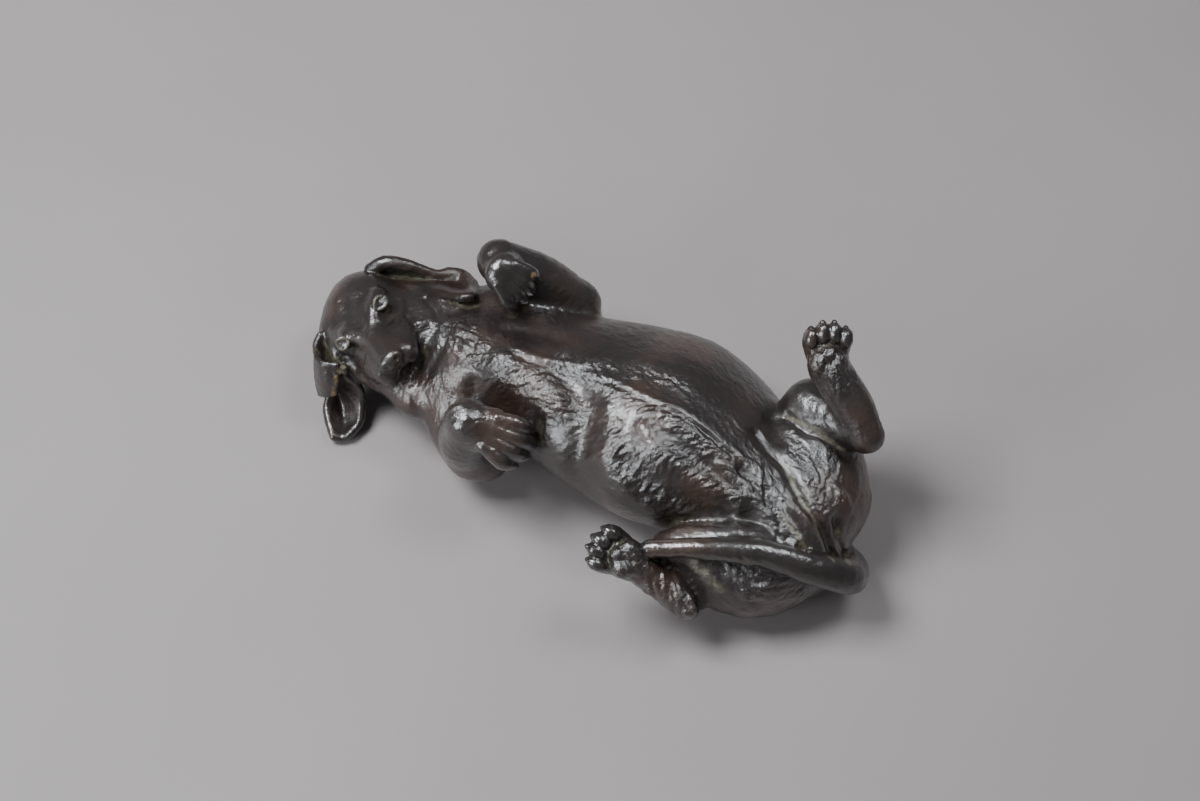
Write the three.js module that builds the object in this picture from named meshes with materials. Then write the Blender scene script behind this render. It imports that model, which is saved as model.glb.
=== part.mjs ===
// A short-legged puppy lying on its back, cast in one piece.
// The figure is worked as clay would be: rounded forms are added to a block of space with soft joins,
// and creases are pressed in. The skin of the clay is then taken as one closed mesh.
import * as THREE from "three";
import { edgeTable, triTable } from "three/addons/objects/MarchingCubes.js";

// Driving sizes, in millimetres: the whole length, the thin places of the casting, and how much is ground
// off the underside.
const LENGTH = 280;
const EAR_THICKNESS = 4.2;
const FLAP_THICKNESS = 3;
const CLAW_TIP = 2.8;
const TAIL_TIP = 7.8;
const RESTING_CUT = 1.6;
const WANTED_FACES = 9400;

// The figure is drawn 280 units long, so its pose and proportions below are shares of its length.
const DRAWN_LENGTH = 280;
const UNIT = LENGTH / DRAWN_LENGTH;
const drawn = (size) => size / UNIT;

// The block of space that holds the clay, in drawing units, and the spacing of its grid.
const BLOCK_LOW = [-148, -96, -4];
const BLOCK_HIGH = [150, 66, 124];
const GRID = 1.7;

const FAR = 1000;
const REACH = 3;
const TALL = 3;

const add = (a, b) => a.map((v, i) => v + b[i]);
const sub = (a, b) => a.map((v, i) => v - b[i]);
const times = (a, k) => a.map((v) => v * k);
const dot = (a, b) => a[0] * b[0] + a[1] * b[1] + a[2] * b[2];
const cross = (a, b) => [
  a[1] * b[2] - a[2] * b[1],
  a[2] * b[0] - a[0] * b[2],
  a[0] * b[1] - a[1] * b[0],
];
const unit = (a) => times(a, 1 / Math.hypot(...a));
const mix = (a, b, t) => a + (b - a) * t;

// A local frame: forward, left and top directions at an origin. It maps local points to the drawing.
function frame(origin, forward, leftish) {
  const f = unit(forward);
  const t = unit(cross(f, leftish));
  const l = cross(t, f);
  const at = (x, y, z) => add(origin, add(times(f, x), add(times(l, y), times(t, z))));
  return { origin, axes: [f, l, t], at };
}

// A smooth value through evenly spaced numbers, as a Catmull-Rom curve is.
function through(values, t) {
  const last = values.length - 1;
  const x = Math.min(Math.max(t, 0), 1) * last;
  const i = Math.min(Math.floor(x), last - 1);
  const u = x - i;
  const v1 = values[i];
  const v2 = values[i + 1];
  const v0 = i > 0 ? values[i - 1] : 2 * v1 - v2;
  const v3 = i < last - 1 ? values[i + 2] : 2 * v2 - v1;
  return v1 + 0.5 * u * (v2 - v0 + u * (2 * v0 - 5 * v1 + 4 * v2 - v3 + u * (3 * (v1 - v2) + v3 - v0)));
}

function boxOf(points, grow) {
  const low = [0, 1, 2].map((i) => Math.min(...points.map((p) => p[i])) - grow);
  const high = [0, 1, 2].map((i) => Math.max(...points.map((p) => p[i])) + grow);
  return [low, high];
}

// A limb: a ball of changing radius carried along a smooth curve through the points.
// Where flat is given, the section is squeezed along that direction by the ratio.
function limb(points, radii, { flat = null, ratio = 1, steps = 4 } = {}) {
  const count = (points.length - 1) * steps;
  const path = [];
  for (let i = 0; i <= count; i++) {
    const t = i / count;
    path.push([0, 1, 2].map((k) => through(points.map((p) => p[k]), t)));
  }
  const size = path.map((_, i) => through(radii, i / count));
  const squeeze = 1 / ratio - 1;
  const n = flat ? unit(flat) : [0, 0, 0];
  const parts = path.slice(1).map((b, i) => {
    const a = path[i];
    const ab = sub(b, a);
    return { a, ab, il: 1 / dot(ab, ab), r: size[i], dr: size[i + 1] - size[i] };
  });
  const distance = (x, y, z) => {
    let best = FAR;
    for (const { a, ab, il, r, dr } of parts) {
      let px = x - a[0];
      let py = y - a[1];
      let pz = z - a[2];
      const t = Math.min(Math.max((px * ab[0] + py * ab[1] + pz * ab[2]) * il, 0), 1);
      px -= ab[0] * t;
      py -= ab[1] * t;
      pz -= ab[2] * t;
      const off = (px * n[0] + py * n[1] + pz * n[2]) * squeeze;
      const d = Math.hypot(px + n[0] * off, py + n[1] * off, pz + n[2] * off) - r - dr * t;
      if (d < best) best = d;
    }
    return best;
  };
  return { box: boxOf(path, Math.max(...size)), distance };
}

// A muscle: an ellipsoid with its centre, half sizes and the frame that turns it.
function muscle(centre, half, { axes }) {
  const distance = (x, y, z) => {
    const p = [x - centre[0], y - centre[1], z - centre[2]];
    let k0 = 0;
    let k1 = 0;
    for (let i = 0; i < 3; i++) {
      const q = dot(p, axes[i]) / half[i];
      k0 += q * q;
      k1 += (q / half[i]) ** 2;
    }
    k0 = Math.sqrt(k0);
    k1 = Math.sqrt(k1);
    return k1 < 1e-9 ? -Math.min(...half) : (k0 * (k0 - 1)) / k1;
  };
  return { box: boxOf([centre], Math.max(...half)), distance };
}

// The trunk: an elliptical section that changes along X and leans to one side as it rises.
// Each station is [x, y, z, half width, half height].
function trunk(stations, lean) {
  const rows = 240;
  const table = [];
  for (let i = 0; i <= rows; i++) {
    table.push([0, 1, 2, 3, 4].map((k) => through(stations.map((s) => s[k]), i / rows)));
  }
  const first = table[0][0];
  const last = table[rows][0];
  const at = (x) => {
    let low = 0;
    let high = rows;
    while (high - low > 1) {
      const mid = (low + high) >> 1;
      if (table[mid][0] <= x) low = mid;
      else high = mid;
    }
    const t = Math.min(Math.max((x - table[low][0]) / (table[high][0] - table[low][0]), 0), 1);
    return [1, 2, 3, 4].map((k) => mix(table[low][k], table[high][k], t));
  };
  const distance = (x, y, z) => {
    const [cy, cz, a, h] = at(x);
    const dz = z - cz;
    const dy = y - cy + lean * dz;
    const k0 = Math.hypot(dy / a, dz / h);
    const k1 = Math.hypot(dy / a / a, dz / h / h);
    const side = k1 < 1e-9 ? -Math.min(a, h) : (k0 * (k0 - 1)) / k1;
    const end = Math.max(first - x, x - last);
    return end > 0 ? Math.hypot(Math.max(side, 0), end) : side;
  };
  const corners = stations.flatMap(([x, y, z, a, h]) => [-1, 1].map((q) => [x, y + q * (a + lean * h), z + q * h]));
  return { box: boxOf(corners, 0), distance };
}

// A leaf, such as an ear: rows of points from root to tip, each row from edge to edge, as a thin skin.
function leaf(rows, thickness, { across = 16, along = 12 } = {}) {
  const lines = [];
  for (let j = 0; j <= across; j++) {
    const v = j / across;
    const line = [];
    for (let i = 0; i <= along; i++) {
      const u = i / along;
      const p = [0, 1, 2].map((k) => through(rows.map((row) => through(row.map((q) => q[k]), v)), u));
      line.push(p);
    }
    lines.push(line);
  }
  const r = thickness / 2;
  const ribs = lines.map((line) => limb(line, line.map(() => r), { steps: 1 }));
  const distance = (x, y, z) => Math.min(...ribs.map((rib) => rib.distance(x, y, z)));
  return { box: boxOf(lines.flat(), r), distance };
}

// The block of clay, as signed distances at the points of a grid.
class Clay {
  constructor(low, high, spacing) {
    this.low = low;
    this.spacing = spacing;
    this.count = low.map((v, i) => Math.ceil((high[i] - v) / spacing) + 1);
    this.value = new Float32Array(this.count[0] * this.count[1] * this.count[2]).fill(FAR);
  }

  // Replaces each value near a form's box by rule(value, distance).
  work({ box, distance }, reach, rule) {
    const [nx, ny, nz] = this.count;
    const s = this.spacing;
    const from = box[0].map((v, i) => Math.max(Math.floor((v - reach - this.low[i]) / s), 0));
    const to = box[1].map((v, i) => Math.min(Math.ceil((v + reach - this.low[i]) / s), this.count[i] - 1));
    for (let k = from[2]; k <= to[2]; k++)
      for (let j = from[1]; j <= to[1]; j++)
        for (let i = from[0]; i <= to[0]; i++) {
          const n = i + nx * (j + ny * k);
          const d = distance(this.low[0] + i * s, this.low[1] + j * s, this.low[2] + k * s);
          this.value[n] = rule(this.value[n], d);
        }
    return this;
  }

  // Adds a form, with a fillet of about the blend's size where it meets the clay.
  add(form, blend) {
    return this.work(form, blend + REACH * this.spacing, (v, d) => {
      const h = Math.max(blend - Math.abs(v - d), 0) / blend;
      return Math.min(v, d) - h * h * blend * 0.25;
    });
  }

  // Cuts a form away, with a rounded edge.
  cut(form, blend) {
    return this.work(form, blend + REACH * this.spacing, (v, d) => {
      const h = Math.max(blend - Math.abs(v + d), 0) / blend;
      return Math.max(v, -d) + h * h * blend * 0.25;
    });
  }

  // Presses a crease along a line, or raises a ridge where the depth is negative. Its section is an upright
  // ellipse, so a line that runs a little above or below the surface still marks it.
  press(points, width, depth) {
    const line = limb(points, points.map(() => 0), { flat: [0, 0, 1], ratio: TALL });
    const reach = width * 2.4;
    line.box[0][2] -= reach * (TALL - 1);
    line.box[1][2] += reach * (TALL - 1);
    return this.work(line, reach, (v, d) => v + depth * Math.exp(-((d / width) ** 2)));
  }
}

const clay = new Clay(BLOCK_LOW, BLOCK_HIGH, GRID);
const WORLD = frame([0, 0, 0], [1, 0, 0], [0, 1, 0]);

// Trunk, lying on its back, from the breast to the rump. It rolls a little towards the dog's right side.
function makeTrunk() {
  clay.add(
    trunk(
      [
        [-82, -1, 33, 20, 21],
        [-66, 1, 33, 26, 27],
        [-42, 3.5, 34, 32.5, 32],
        [-15, 3, 34, 40.5, 34],
        [12, 3, 35, 47, 36],
        [36, 3, 36, 48.5, 37],
        [60, 2, 34, 42.5, 34],
        [84, -4, 32, 35, 31],
        [102, -9, 30, 31, 28],
        [114, -12, 29, 25, 24],
      ],
      0.28,
    ),
    4,
  );
  clay.add(muscle([101, -14, 29], [20, 27, 26], WORLD), 12);
  // The breastbone stands out as a keel, and the belly swells behind it.
  clay.add(limb([[-58, -12, 52], [-38, -12, 56], [-14, -11, 58]], [8, 10, 8]), 16);
  clay.add(muscle([34, -8, 46], [34, 28, 26], WORLD), 18);
}

// Head, turned to look over the breast. Its frame points along the muzzle, to the dog's left ear and to the crown.
const HEAD = frame([-117, -6, 40], [0.648, -0.6, 0.469], [0.379, 0.787, 0.485]);

function makeNeck() {
  clay.add(limb([[-58, 2, 34], [-80, 0, 33], [-99, -4, 32], HEAD.at(-8, 0, -6)], [27, 23, 20, 17]), 8);
  clay.add(limb([[-66, 16, 34], [-84, 16, 30], [-104, 12, 30]], [18, 15, 12]), 10);
}

function makeHead() {
  const { at } = HEAD;
  clay.add(muscle(at(-6, 0, -1), [22, 18.5, 16.5], HEAD), 6);
  // Cheeks, brows and the broad muzzle with its lips, then the chin and the nose.
  for (const side of [-1, 1]) {
    clay.add(muscle(at(2, side * 10.5, -9), [15, 9.5, 9.5], HEAD), 6);
    clay.add(limb([at(20, side * 6, 6.4), at(15, side * 8.5, 9), at(8, side * 13.5, 8)], [2.4, 3.4, 2.6]), 5);
    clay.add(limb([at(13, side * 7.5, -7), at(27, side * 6.4, -7.5), at(40, side * 4.8, -6.8)], [8.8, 7.8, 5.6]), 4);
  }
  clay.add(limb([at(12, 0, 2), at(26, 0, 0), at(41, 0, -1.6)], [8.6, 6.8, 5.2]), 5);
  clay.add(limb([at(4, 0, -13), at(22, 0, -14), at(36, 0, -12.5)], [9, 6.4, 4.2]), 2);
  clay.add(muscle(at(45, 0, -2), [4, 6.4, 4.6], HEAD), 1.4);
  // The near jowl hangs out below the eye.
  clay.add(muscle(at(14, -11, -13), [10, 7.5, 7.5], HEAD), 5);
  for (const side of [-1, 1]) {
    // The eye sits in a shallow socket. The mouth runs back under the lip.
    clay.cut(muscle(at(22, side * 14.3, 9.8), [4.2, 4.2, 4.2], HEAD), 2);
    clay.add(muscle(at(16.2, side * 11.6, 6.4), [4, 4, 4], HEAD), 0.8);
    clay.press([at(17, side * 16, -9), at(26, side * 14, -12), at(36, side * 10, -12), at(44, side * 3, -10.5)], 1.7, 1.8);
    clay.cut(muscle(at(49, side * 3.4, -1.8), [1.7, 1.5, 1.4], HEAD), 0.8);
  }
  clay.press([at(2, 0, 16), at(12, 0, 14), at(22, 0, 8.6)], 2.4, 1.3);
}

// The left ear lies back on the neck, hollow side up, with its far edge rolled over. The right ear hangs
// as a scoop, with its upper edge folded over towards the front.
function makeEars() {
  const left = [
    [[-125, 14, 47], [-121, 15, 41], [-114, 9, 46]],
    [[-119.5, 20.5, 50], [-115, 19, 42], [-107, 11, 49]],
    [[-112, 23, 50], [-107, 21.5, 42.5], [-99.8, 11.8, 49]],
    [[-104.5, 25, 48], [-99.5, 21.5, 44], [-90, 10, 53.5]],
    [[-95.8, 26.5, 46], [-93, 20.5, 47], [-84, 9.5, 56]],
    [[-91, 32.5, 45], [-87, 22.5, 47.5], [-79, 8.5, 58]],
    [[-84.5, 33.5, 44], [-81, 22.5, 50], [-73, 9.3, 60]],
    [[-77.5, 28, 48], [-74.5, 19.5, 54.5], [-69, 12.5, 60]],
  ];
  clay.add(leaf(left, drawn(EAR_THICKNESS), { across: 14, along: 18 }), 1.2);
  clay.add(limb([[-124, 14, 47.5], [-119, 19.5, 51], [-110, 23, 50.5], [-102, 25, 47]], [3.2, 3.4, 3, 2]), 1.5);
  clay.add(limb([[-119, 11, 34], [-104, 16, 30], [-90, 22, 30]], [8, 9, 9]), 4);
  clay.add(muscle([-125, -17, 33], [9, 9, 9], WORLD), 5);
  const right = [
    [[-130, -24, 39], [-128, -23, 32], [-121, -27, 38]],
    [[-131, -28, 34], [-125, -28, 28], [-117, -31, 34]],
    [[-127, -34, 24], [-121, -31, 19], [-113, -33, 30]],
    [[-125, -38, 14], [-118, -34, 10], [-108, -32, 23]],
    [[-123, -44, 9], [-114, -39, 4.6], [-104, -33, 15]],
    [[-115, -51, 7], [-109, -45, 4], [-103, -41, 8]],
    [[-109, -53, 6], [-108, -50, 5], [-106, -48, 6]],
  ];
  clay.add(leaf(right, drawn(EAR_THICKNESS), { across: 12, along: 16 }), 1.5);
  const flap = [
    [[-129, -30, 30], [-122, -35, 35], [-116, -34, 38]],
    [[-127, -36, 20], [-120, -39, 27], [-115, -38, 31]],
    [[-125, -39, 13], [-119, -41, 19], [-116, -40, 22]],
  ];
  clay.add(leaf(flap, drawn(FLAP_THICKNESS), { across: 8, along: 8 }), 1);
  clay.add(muscle([-113, -33, 36], [3, 3, 3], WORLD), 1.5);
}

// A paw: a palm and four close toes with claws. Its frame points to the toes, with the back of the paw on
// top. The sole has three round pads and one for each toe.
function makePaw(paw, size, { pads = false, dewclaw = 0 } = {}) {
  const { at } = paw;
  const s = size;
  const tip = drawn(CLAW_TIP) / 2;
  clay.add(muscle(at(-2 * s, 0, -1 * s), [8.4 * s, 8.8 * s, 5.8 * s], paw), 3);
  clay.add(muscle(at(5 * s, 0, -0.4 * s), [9 * s, 9 * s, 3.4 * s], paw), 2);
  for (const lane of [-1.5, -0.5, 0.5, 1.5]) {
    const inner = Math.abs(lane) < 1;
    const reach = (inner ? 11.5 : 9) * s;
    const y = lane * 4.9 * s;
    const knuckle = at(reach * 0.55, y, 3 * s);
    clay.add(limb([at(-3 * s, y * 0.75, 2.2 * s), knuckle, at(reach, y, -0.4 * s)], [2.7 * s, 3.2 * s, 3.2 * s]), 0.7);
    clay.add(limb([at(reach + 1.8 * s, y, 0.8 * s), at(reach + 4 * s, y, -0.6 * s)], [1.2 * tip * s, tip]), 0.6);
    if (pads) clay.add(muscle(at(reach - 0.8 * s, y, -3.4 * s), [4.4 * s, 2.8 * s, 2.8 * s], paw), 0.6);
  }
  if (pads) {
    clay.add(muscle(at(2.6 * s, 0, -4.6 * s), [3.4 * s, 3.6 * s, 3.2 * s], paw), 0.8);
    for (const lane of [-1, 1]) {
      clay.add(muscle(at(-2 * s, lane * 4.2 * s, -4.8 * s), [5.2 * s, 4.1 * s, 3.8 * s], paw), 0.8);
    }
  }
  if (dewclaw) {
    clay.add(limb([at(-9 * s, dewclaw * 7 * s, -2 * s), at(-5 * s, dewclaw * 9.5 * s, -5 * s)], [2.8 * s, tip]), 1);
  }
}

function makeForelegs() {
  // Left: elbow out, forearm laid towards the head, paw folded down over the breast.
  clay.add(muscle([-48, 20, 38], [24, 15, 22], WORLD), 8);
  clay.add(limb([[-58, 16, 42], [-42, 30, 43], [-31, 39, 44]], [17, 14, 10.5]), 6);
  clay.add(limb([[-31, 40, 45], [-46, 34, 61], [-62, 25, 77]], [10, 11.5, 10]), 4);
  const left = frame([-53.5, 17.5, 80], [0.625, 0.1, -0.77], [0.29, 0.87, 0.41]);
  makePaw(left, 1.04);
  // Right: forearm upright, paw folded over towards the belly.
  clay.add(muscle([-55, -18, 34], [24, 16, 23], WORLD), 8);
  clay.add(limb([[-60, -20, 36], [-53, -32, 29], [-42, -41, 26]], [18, 16, 12]), 6);
  clay.add(limb([[-46, -38, 26], [-36, -41, 26]], [11, 10]), 6);
  clay.add(limb([[-43, -42, 28], [-43, -46, 45], [-40, -47, 62]], [12, 12, 10.5]), 4);
  const right = frame([-27, -46, 60], [0.86, 0.18, -0.48], [0.2, 0.84, 0.5]);
  makePaw(right, 1.2, { dewclaw: -1 });
}

function makeHindLegs() {
  // Left: thigh up and out, shin folded back to the hock, foot raised with its pads to the front.
  clay.add(limb([[104, 0, 34], [97, 14, 43], [89, 26, 54]], [25, 21, 13]), 10);
  clay.add(limb([[89, 28, 58], [103, 23, 62], [116, 18, 68]], [11.5, 11.5, 7.4]), 5);
  clay.add(limb([[118, 17, 70], [107, 24, 78], [94, 29, 88]], [7.2, 8.8, 8.6]), 3);
  makePaw(frame([91, 32, 93], [-0.3, 0.6, 0.75], [0.77, 0.45, 0.05]), 1, { pads: true });
  // Right: thigh splayed on the floor side with its muscle standing up, foot raised beside the belly.
  clay.add(limb([[103, -23, 28], [90, -40, 27], [66, -51, 34]], [25, 23, 14.5]), 5);
  clay.add(limb([[98, -34, 41], [84, -40, 42], [64, -48, 38]], [10, 12.5, 11]), 5);
  clay.add(limb([[63, -55, 34], [72, -61, 30], [76, -67, 28]], [12.5, 10, 7]), 4);
  clay.add(limb([[75, -70, 31], [62, -70, 38], [50, -70, 45]], [7.6, 6.4, 6.6]), 2.5);
  makePaw(frame([44, -70, 48], [-0.93, -0.12, 0.34], [0.06, 0.87, 0.47]), 1, { pads: true });
}

// The tail comes round the rump, lies over the right thigh and meets the right foot.
function makeTail() {
  const line = [[116, -14, 14], [129, -20, 22], [132, -30, 34], [119, -38, 45], [98, -44.5, 52], [76, -54, 54], [54, -63, 51]];
  clay.add(limb(line, [11, 8.8, 7.8, 7.2, 6.2, 4.8, drawn(TAIL_TIP) / 2]), 1.6);
}

// The belly's midline and rolls, the breast, the edge of the ribs, the folds of the groin and the neck,
// and the dips round the thigh.
function makeFolds() {
  const middle = [[-2, -7, 71], [9, -9, 73.5], [26, -12.5, 76], [50, -13, 74], [69, -16, 68], [83, -21.5, 62]];
  clay.press(middle, 6, -1.6);
  clay.press([...middle.slice(1), [97, -27.5, 58], [107, -31, 54]], 1.8, 1.1);
  clay.press([[32, -24, 72], [42, -30, 70], [53, -32, 66], [64, -31, 61], [80, -32, 56]], 4, -2);
  clay.press([[30, -37, 66], [38, -39, 65], [50, -41, 60], [62, -40, 55], [76, -38, 51]], 3.4, 1.8);
  clay.press([[36, -18, 74], [53, -21.5, 69], [68, -24, 63], [84, -28, 58]], 4, 0.8);
  clay.press([[-12, -12, 70], [-4, -16, 70], [4, -24, 69], [8, -34, 63], [10, -42, 52], [18, -46, 42]], 6, 2.6);
  clay.press([[14, -20, 73], [20, -28, 72], [21, -38, 63], [32, -43, 58]], 3.4, -1.4);
  clay.press([[-40, -17, 67], [-24, -21, 67], [-9, -24, 64]], 6.5, -2.8);
  clay.press([[-48, -28, 60], [-34, -30, 59], [-18, -33, 57]], 4.4, 3);
  clay.press([[-46, 0, 67], [-36, 3, 67], [-26, 6, 67]], 5, 2);
  clay.press([[74, 0, 65], [82, -4, 63], [90, -7, 62], [96, -12, 61], [104, -18, 58]], 2.4, 1.8);
  clay.press([[96, -12, 61], [104, -18, 58], [111, -21, 55], [118, -24, 49], [124, -28, 40]], 2.2, 2.6);
  clay.press([[76, -19, 64], [82, -20, 63], [93, -24, 61], [100, -29, 59], [106, -33, 55], [112, -35, 51]], 2.4, 2.2);
  clay.press([[77, 12, 60], [80, 7, 61], [82, 3, 61]], 4, 1.4);
  clay.press([[83, 16, 62], [92, 12, 64], [100, 12, 65], [107, 11, 64], [112, 10, 62]], 2.2, 2);
  clay.press([[56, -44, 43], [66, -38, 49], [80, -33.5, 52], [94, -32, 53], [102, -34, 52]], 2.8, 4);
  clay.press([[60, -62, 36], [70, -62, 42], [79, -67, 36], [80, -70, 28]], 2.6, 3);
  clay.press([[-91, 6.4, 52.7], [-82, 0.7, 56.6], [-78, -8, 57], [-79, -16, 54.6], [-78, -23, 46]], 2.2, 1.5);
}

makeTrunk();
makeNeck();
makeHead();
makeEars();
makeForelegs();
makeHindLegs();
makeTail();
makeFolds();
// The underside is ground flat, so the figure stands still.
const cut = drawn(RESTING_CUT);
const floor = { box: [BLOCK_LOW, [BLOCK_HIGH[0], BLOCK_HIGH[1], cut]], distance: (x, y, z) => z - cut };
clay.work(floor, 8, (v, d) => Math.max(v, -d));

// The skin of the clay: marching cubes over the grid, with each crossing found once per grid edge.
function skin(block) {
  const [nx, ny] = block.count;
  const square = [0, 1, 1 + nx, nx];
  const corners = [...square, ...square.map((o) => o + nx * ny)];
  const ends = [
    [0, 1], [1, 2], [3, 2], [0, 3],
    [4, 5], [5, 6], [7, 6], [4, 7],
    [0, 4], [1, 5], [2, 6], [3, 7],
  ];
  const points = [];
  const faces = [];
  const found = new Map();
  const place = (n) => [n % nx, Math.floor(n / nx) % ny, Math.floor(n / (nx * ny))];
  const crossing = (a, b) => {
    const key = a * 3 + [1, nx, nx * ny].indexOf(b - a);
    let index = found.get(key);
    if (index === undefined) {
      const t = Math.min(Math.max(block.value[a] / (block.value[a] - block.value[b]), 0.02), 0.98);
      const pa = place(a);
      const pb = place(b);
      index = points.length;
      points.push(pa.map((v, i) => block.low[i] + block.spacing * mix(v, pb[i], t)));
      found.set(key, index);
    }
    return index;
  };
  const [cx, cy, cz] = block.count.map((c) => c - 1);
  for (let k = 0; k < cz; k++)
    for (let j = 0; j < cy; j++)
      for (let i = 0; i < cx; i++) {
        const base = i + nx * (j + ny * k);
        let kind = 0;
        for (let c = 0; c < 8; c++) if (block.value[base + corners[c]] < 0) kind |= 1 << c;
        if (!edgeTable[kind]) continue;
        for (let e = kind * 16; triTable[e] >= 0; e += 3) {
          const face = [2, 1, 0].map((q) => {
            const [a, b] = ends[triTable[e + q]];
            return crossing(base + corners[a], base + corners[b]);
          });
          faces.push(face);
        }
      }
  return { points, faces };
}

// Thins a closed mesh to the wanted number of faces. The edge whose loss moves the surface least goes first,
// measured by squared distances to the planes of the faces it stands for.
function thin({ points, faces }, wanted) {
  const around = points.map(() => new Set());
  faces.forEach((face, i) => face.forEach((v) => around[v].add(i)));
  const cornersOf = (face) => face.map((v) => points[v]);
  const normalOf = ([a, b, c]) => cross(sub(b, a), sub(c, a));
  const square = points.map(() => new Float64Array(10));
  for (const face of faces) {
    const n = normalOf(cornersOf(face));
    const size = Math.hypot(...n);
    if (size < 1e-12) continue;
    const [a, b, c] = times(n, 1 / size);
    const d = -dot([a, b, c], points[face[0]]);
    const q = [a * a, a * b, a * c, a * d, b * b, b * c, b * d, c * c, c * d, d * d];
    for (const v of face) q.forEach((value, i) => (square[v][i] += value * size));
  }
  const error = (q, [x, y, z]) =>
    q[0] * x * x + q[4] * y * y + q[7] * z * z + q[9] +
    2 * (q[1] * x * y + q[2] * x * z + q[5] * y * z + q[3] * x + q[6] * y + q[8] * z);
  const heap = [];
  const swap = (i, j) => ([heap[i], heap[j]] = [heap[j], heap[i]]);
  const push = (item) => {
    heap.push(item);
    let i = heap.length - 1;
    while (i > 0 && heap[(i - 1) >> 1].cost > heap[i].cost) {
      swap(i, (i - 1) >> 1);
      i = (i - 1) >> 1;
    }
  };
  const pop = () => {
    const top = heap[0];
    const end = heap.pop();
    if (heap.length) {
      heap[0] = end;
      let i = 0;
      for (;;) {
        let small = i;
        for (const j of [2 * i + 1, 2 * i + 2]) if (j < heap.length && heap[j].cost < heap[small].cost) small = j;
        if (small === i) break;
        swap(i, small);
        i = small;
      }
    }
    return top;
  };
  const stamp = new Int32Array(points.length);
  const offer = (a, b) => {
    const q = square[a].map((v, i) => v + square[b][i]);
    const middle = times(add(points[a], points[b]), 0.5);
    // The pull towards the middle keeps flat parts evenly meshed.
    const pull = 1e-3 * (q[0] + q[4] + q[7]) + 1e-9;
    const [m00, m01, m02, m11, m12, m22] = [q[0] + pull, q[1], q[2], q[4] + pull, q[5], q[7] + pull];
    const r = [pull * middle[0] - q[3], pull * middle[1] - q[6], pull * middle[2] - q[8]];
    const rows = [[m00, m01, m02], [m01, m11, m12], [m02, m12, m22]];
    const det = dot(rows[0], cross(rows[1], rows[2]));
    const inverse = [cross(rows[1], rows[2]), cross(rows[2], rows[0]), cross(rows[0], rows[1])];
    let best = [0, 1, 2].map((i) => (inverse[0][i] * r[0] + inverse[1][i] * r[1] + inverse[2][i] * r[2]) / det);
    const length = Math.hypot(...sub(points[a], points[b]));
    if (!best.every(Number.isFinite) || Math.hypot(...sub(best, middle)) > length) best = middle;
    const cost = error(q, best) + 1e-4 * pull * length * length;
    push({ cost, a, b, best, q, sa: stamp[a], sb: stamp[b] });
  };
  const neighbours = (v) => {
    const set = new Set();
    for (const i of around[v]) for (const w of faces[i]) if (w !== v) set.add(w);
    return set;
  };
  for (const [a, b, c] of faces) for (const [p, q] of [[a, b], [b, c], [c, a]]) if (p < q) offer(p, q);
  let left = faces.length;
  while (left > wanted && heap.length) {
    const { a, b, best, q, sa, sb } = pop();
    if (stamp[a] !== sa || stamp[b] !== sb) continue;
    const nb = neighbours(b);
    const shared = [...neighbours(a)].filter((v) => nb.has(v));
    if (shared.length !== 2) continue;
    const folds = [a, b].some((v) =>
      [...around[v]].some((i) => {
        const face = faces[i];
        if (face.includes(a) && face.includes(b)) return false;
        const before = normalOf(cornersOf(face));
        const after = normalOf(face.map((w) => (w === v ? best : points[w])));
        return dot(before, after) < 0.3 * Math.hypot(...before) * Math.hypot(...after) || Math.hypot(...after) < 1e-3;
      }),
    );
    if (folds) continue;
    for (const i of [...around[b]]) {
      const face = faces[i];
      if (face.includes(a)) {
        for (const w of face) around[w].delete(i);
        faces[i] = null;
        left--;
      } else {
        face[face.indexOf(b)] = a;
        around[a].add(i);
      }
    }
    around[b].clear();
    points[a] = best;
    square[a] = q;
    stamp[a]++;
    stamp[b] = -1;
    for (const v of neighbours(a)) offer(Math.min(a, v), Math.max(a, v));
  }
  const kept = new Map();
  const out = { points: [], faces: [] };
  for (const face of faces.filter(Boolean)) {
    const renamed = face.map((v) => {
      if (!kept.has(v)) {
        kept.set(v, out.points.length);
        out.points.push(points[v]);
      }
      return kept.get(v);
    });
    out.faces.push(renamed);
  }
  return out;
}

const full = skin(clay);
const mesh = WANTED_FACES > 0 ? thin(full, WANTED_FACES) : full;
const onFloor = (z) => (Math.abs(z - cut) < 0.06 ? cut : z);
const placed = mesh.points.map(([x, y, z]) => times([x, y, onFloor(z)], UNIT));
const box = boxOf(placed, 0);
export const shift = [-(box[0][0] + box[1][0]) / 2, -(box[0][1] + box[1][1]) / 2, -box[0][2]];

const geometry = new THREE.BufferGeometry();
geometry.setAttribute("position", new THREE.Float32BufferAttribute(placed.flatMap((p) => add(p, shift)), 3));
geometry.setIndex(mesh.faces.flat());
const bronze = new THREE.MeshStandardMaterial({ name: "bronze", color: 0x3a2e27, metalness: 0.8, roughness: 0.35 });
const dog = new THREE.Mesh(geometry, bronze);
dog.name = "dog";
const figure = new THREE.Group();
figure.add(dog);
export default figure;
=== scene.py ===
"""A cast bronze puppy lying on its back, with a brown waxed patina, shown on a pale table."""

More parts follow.
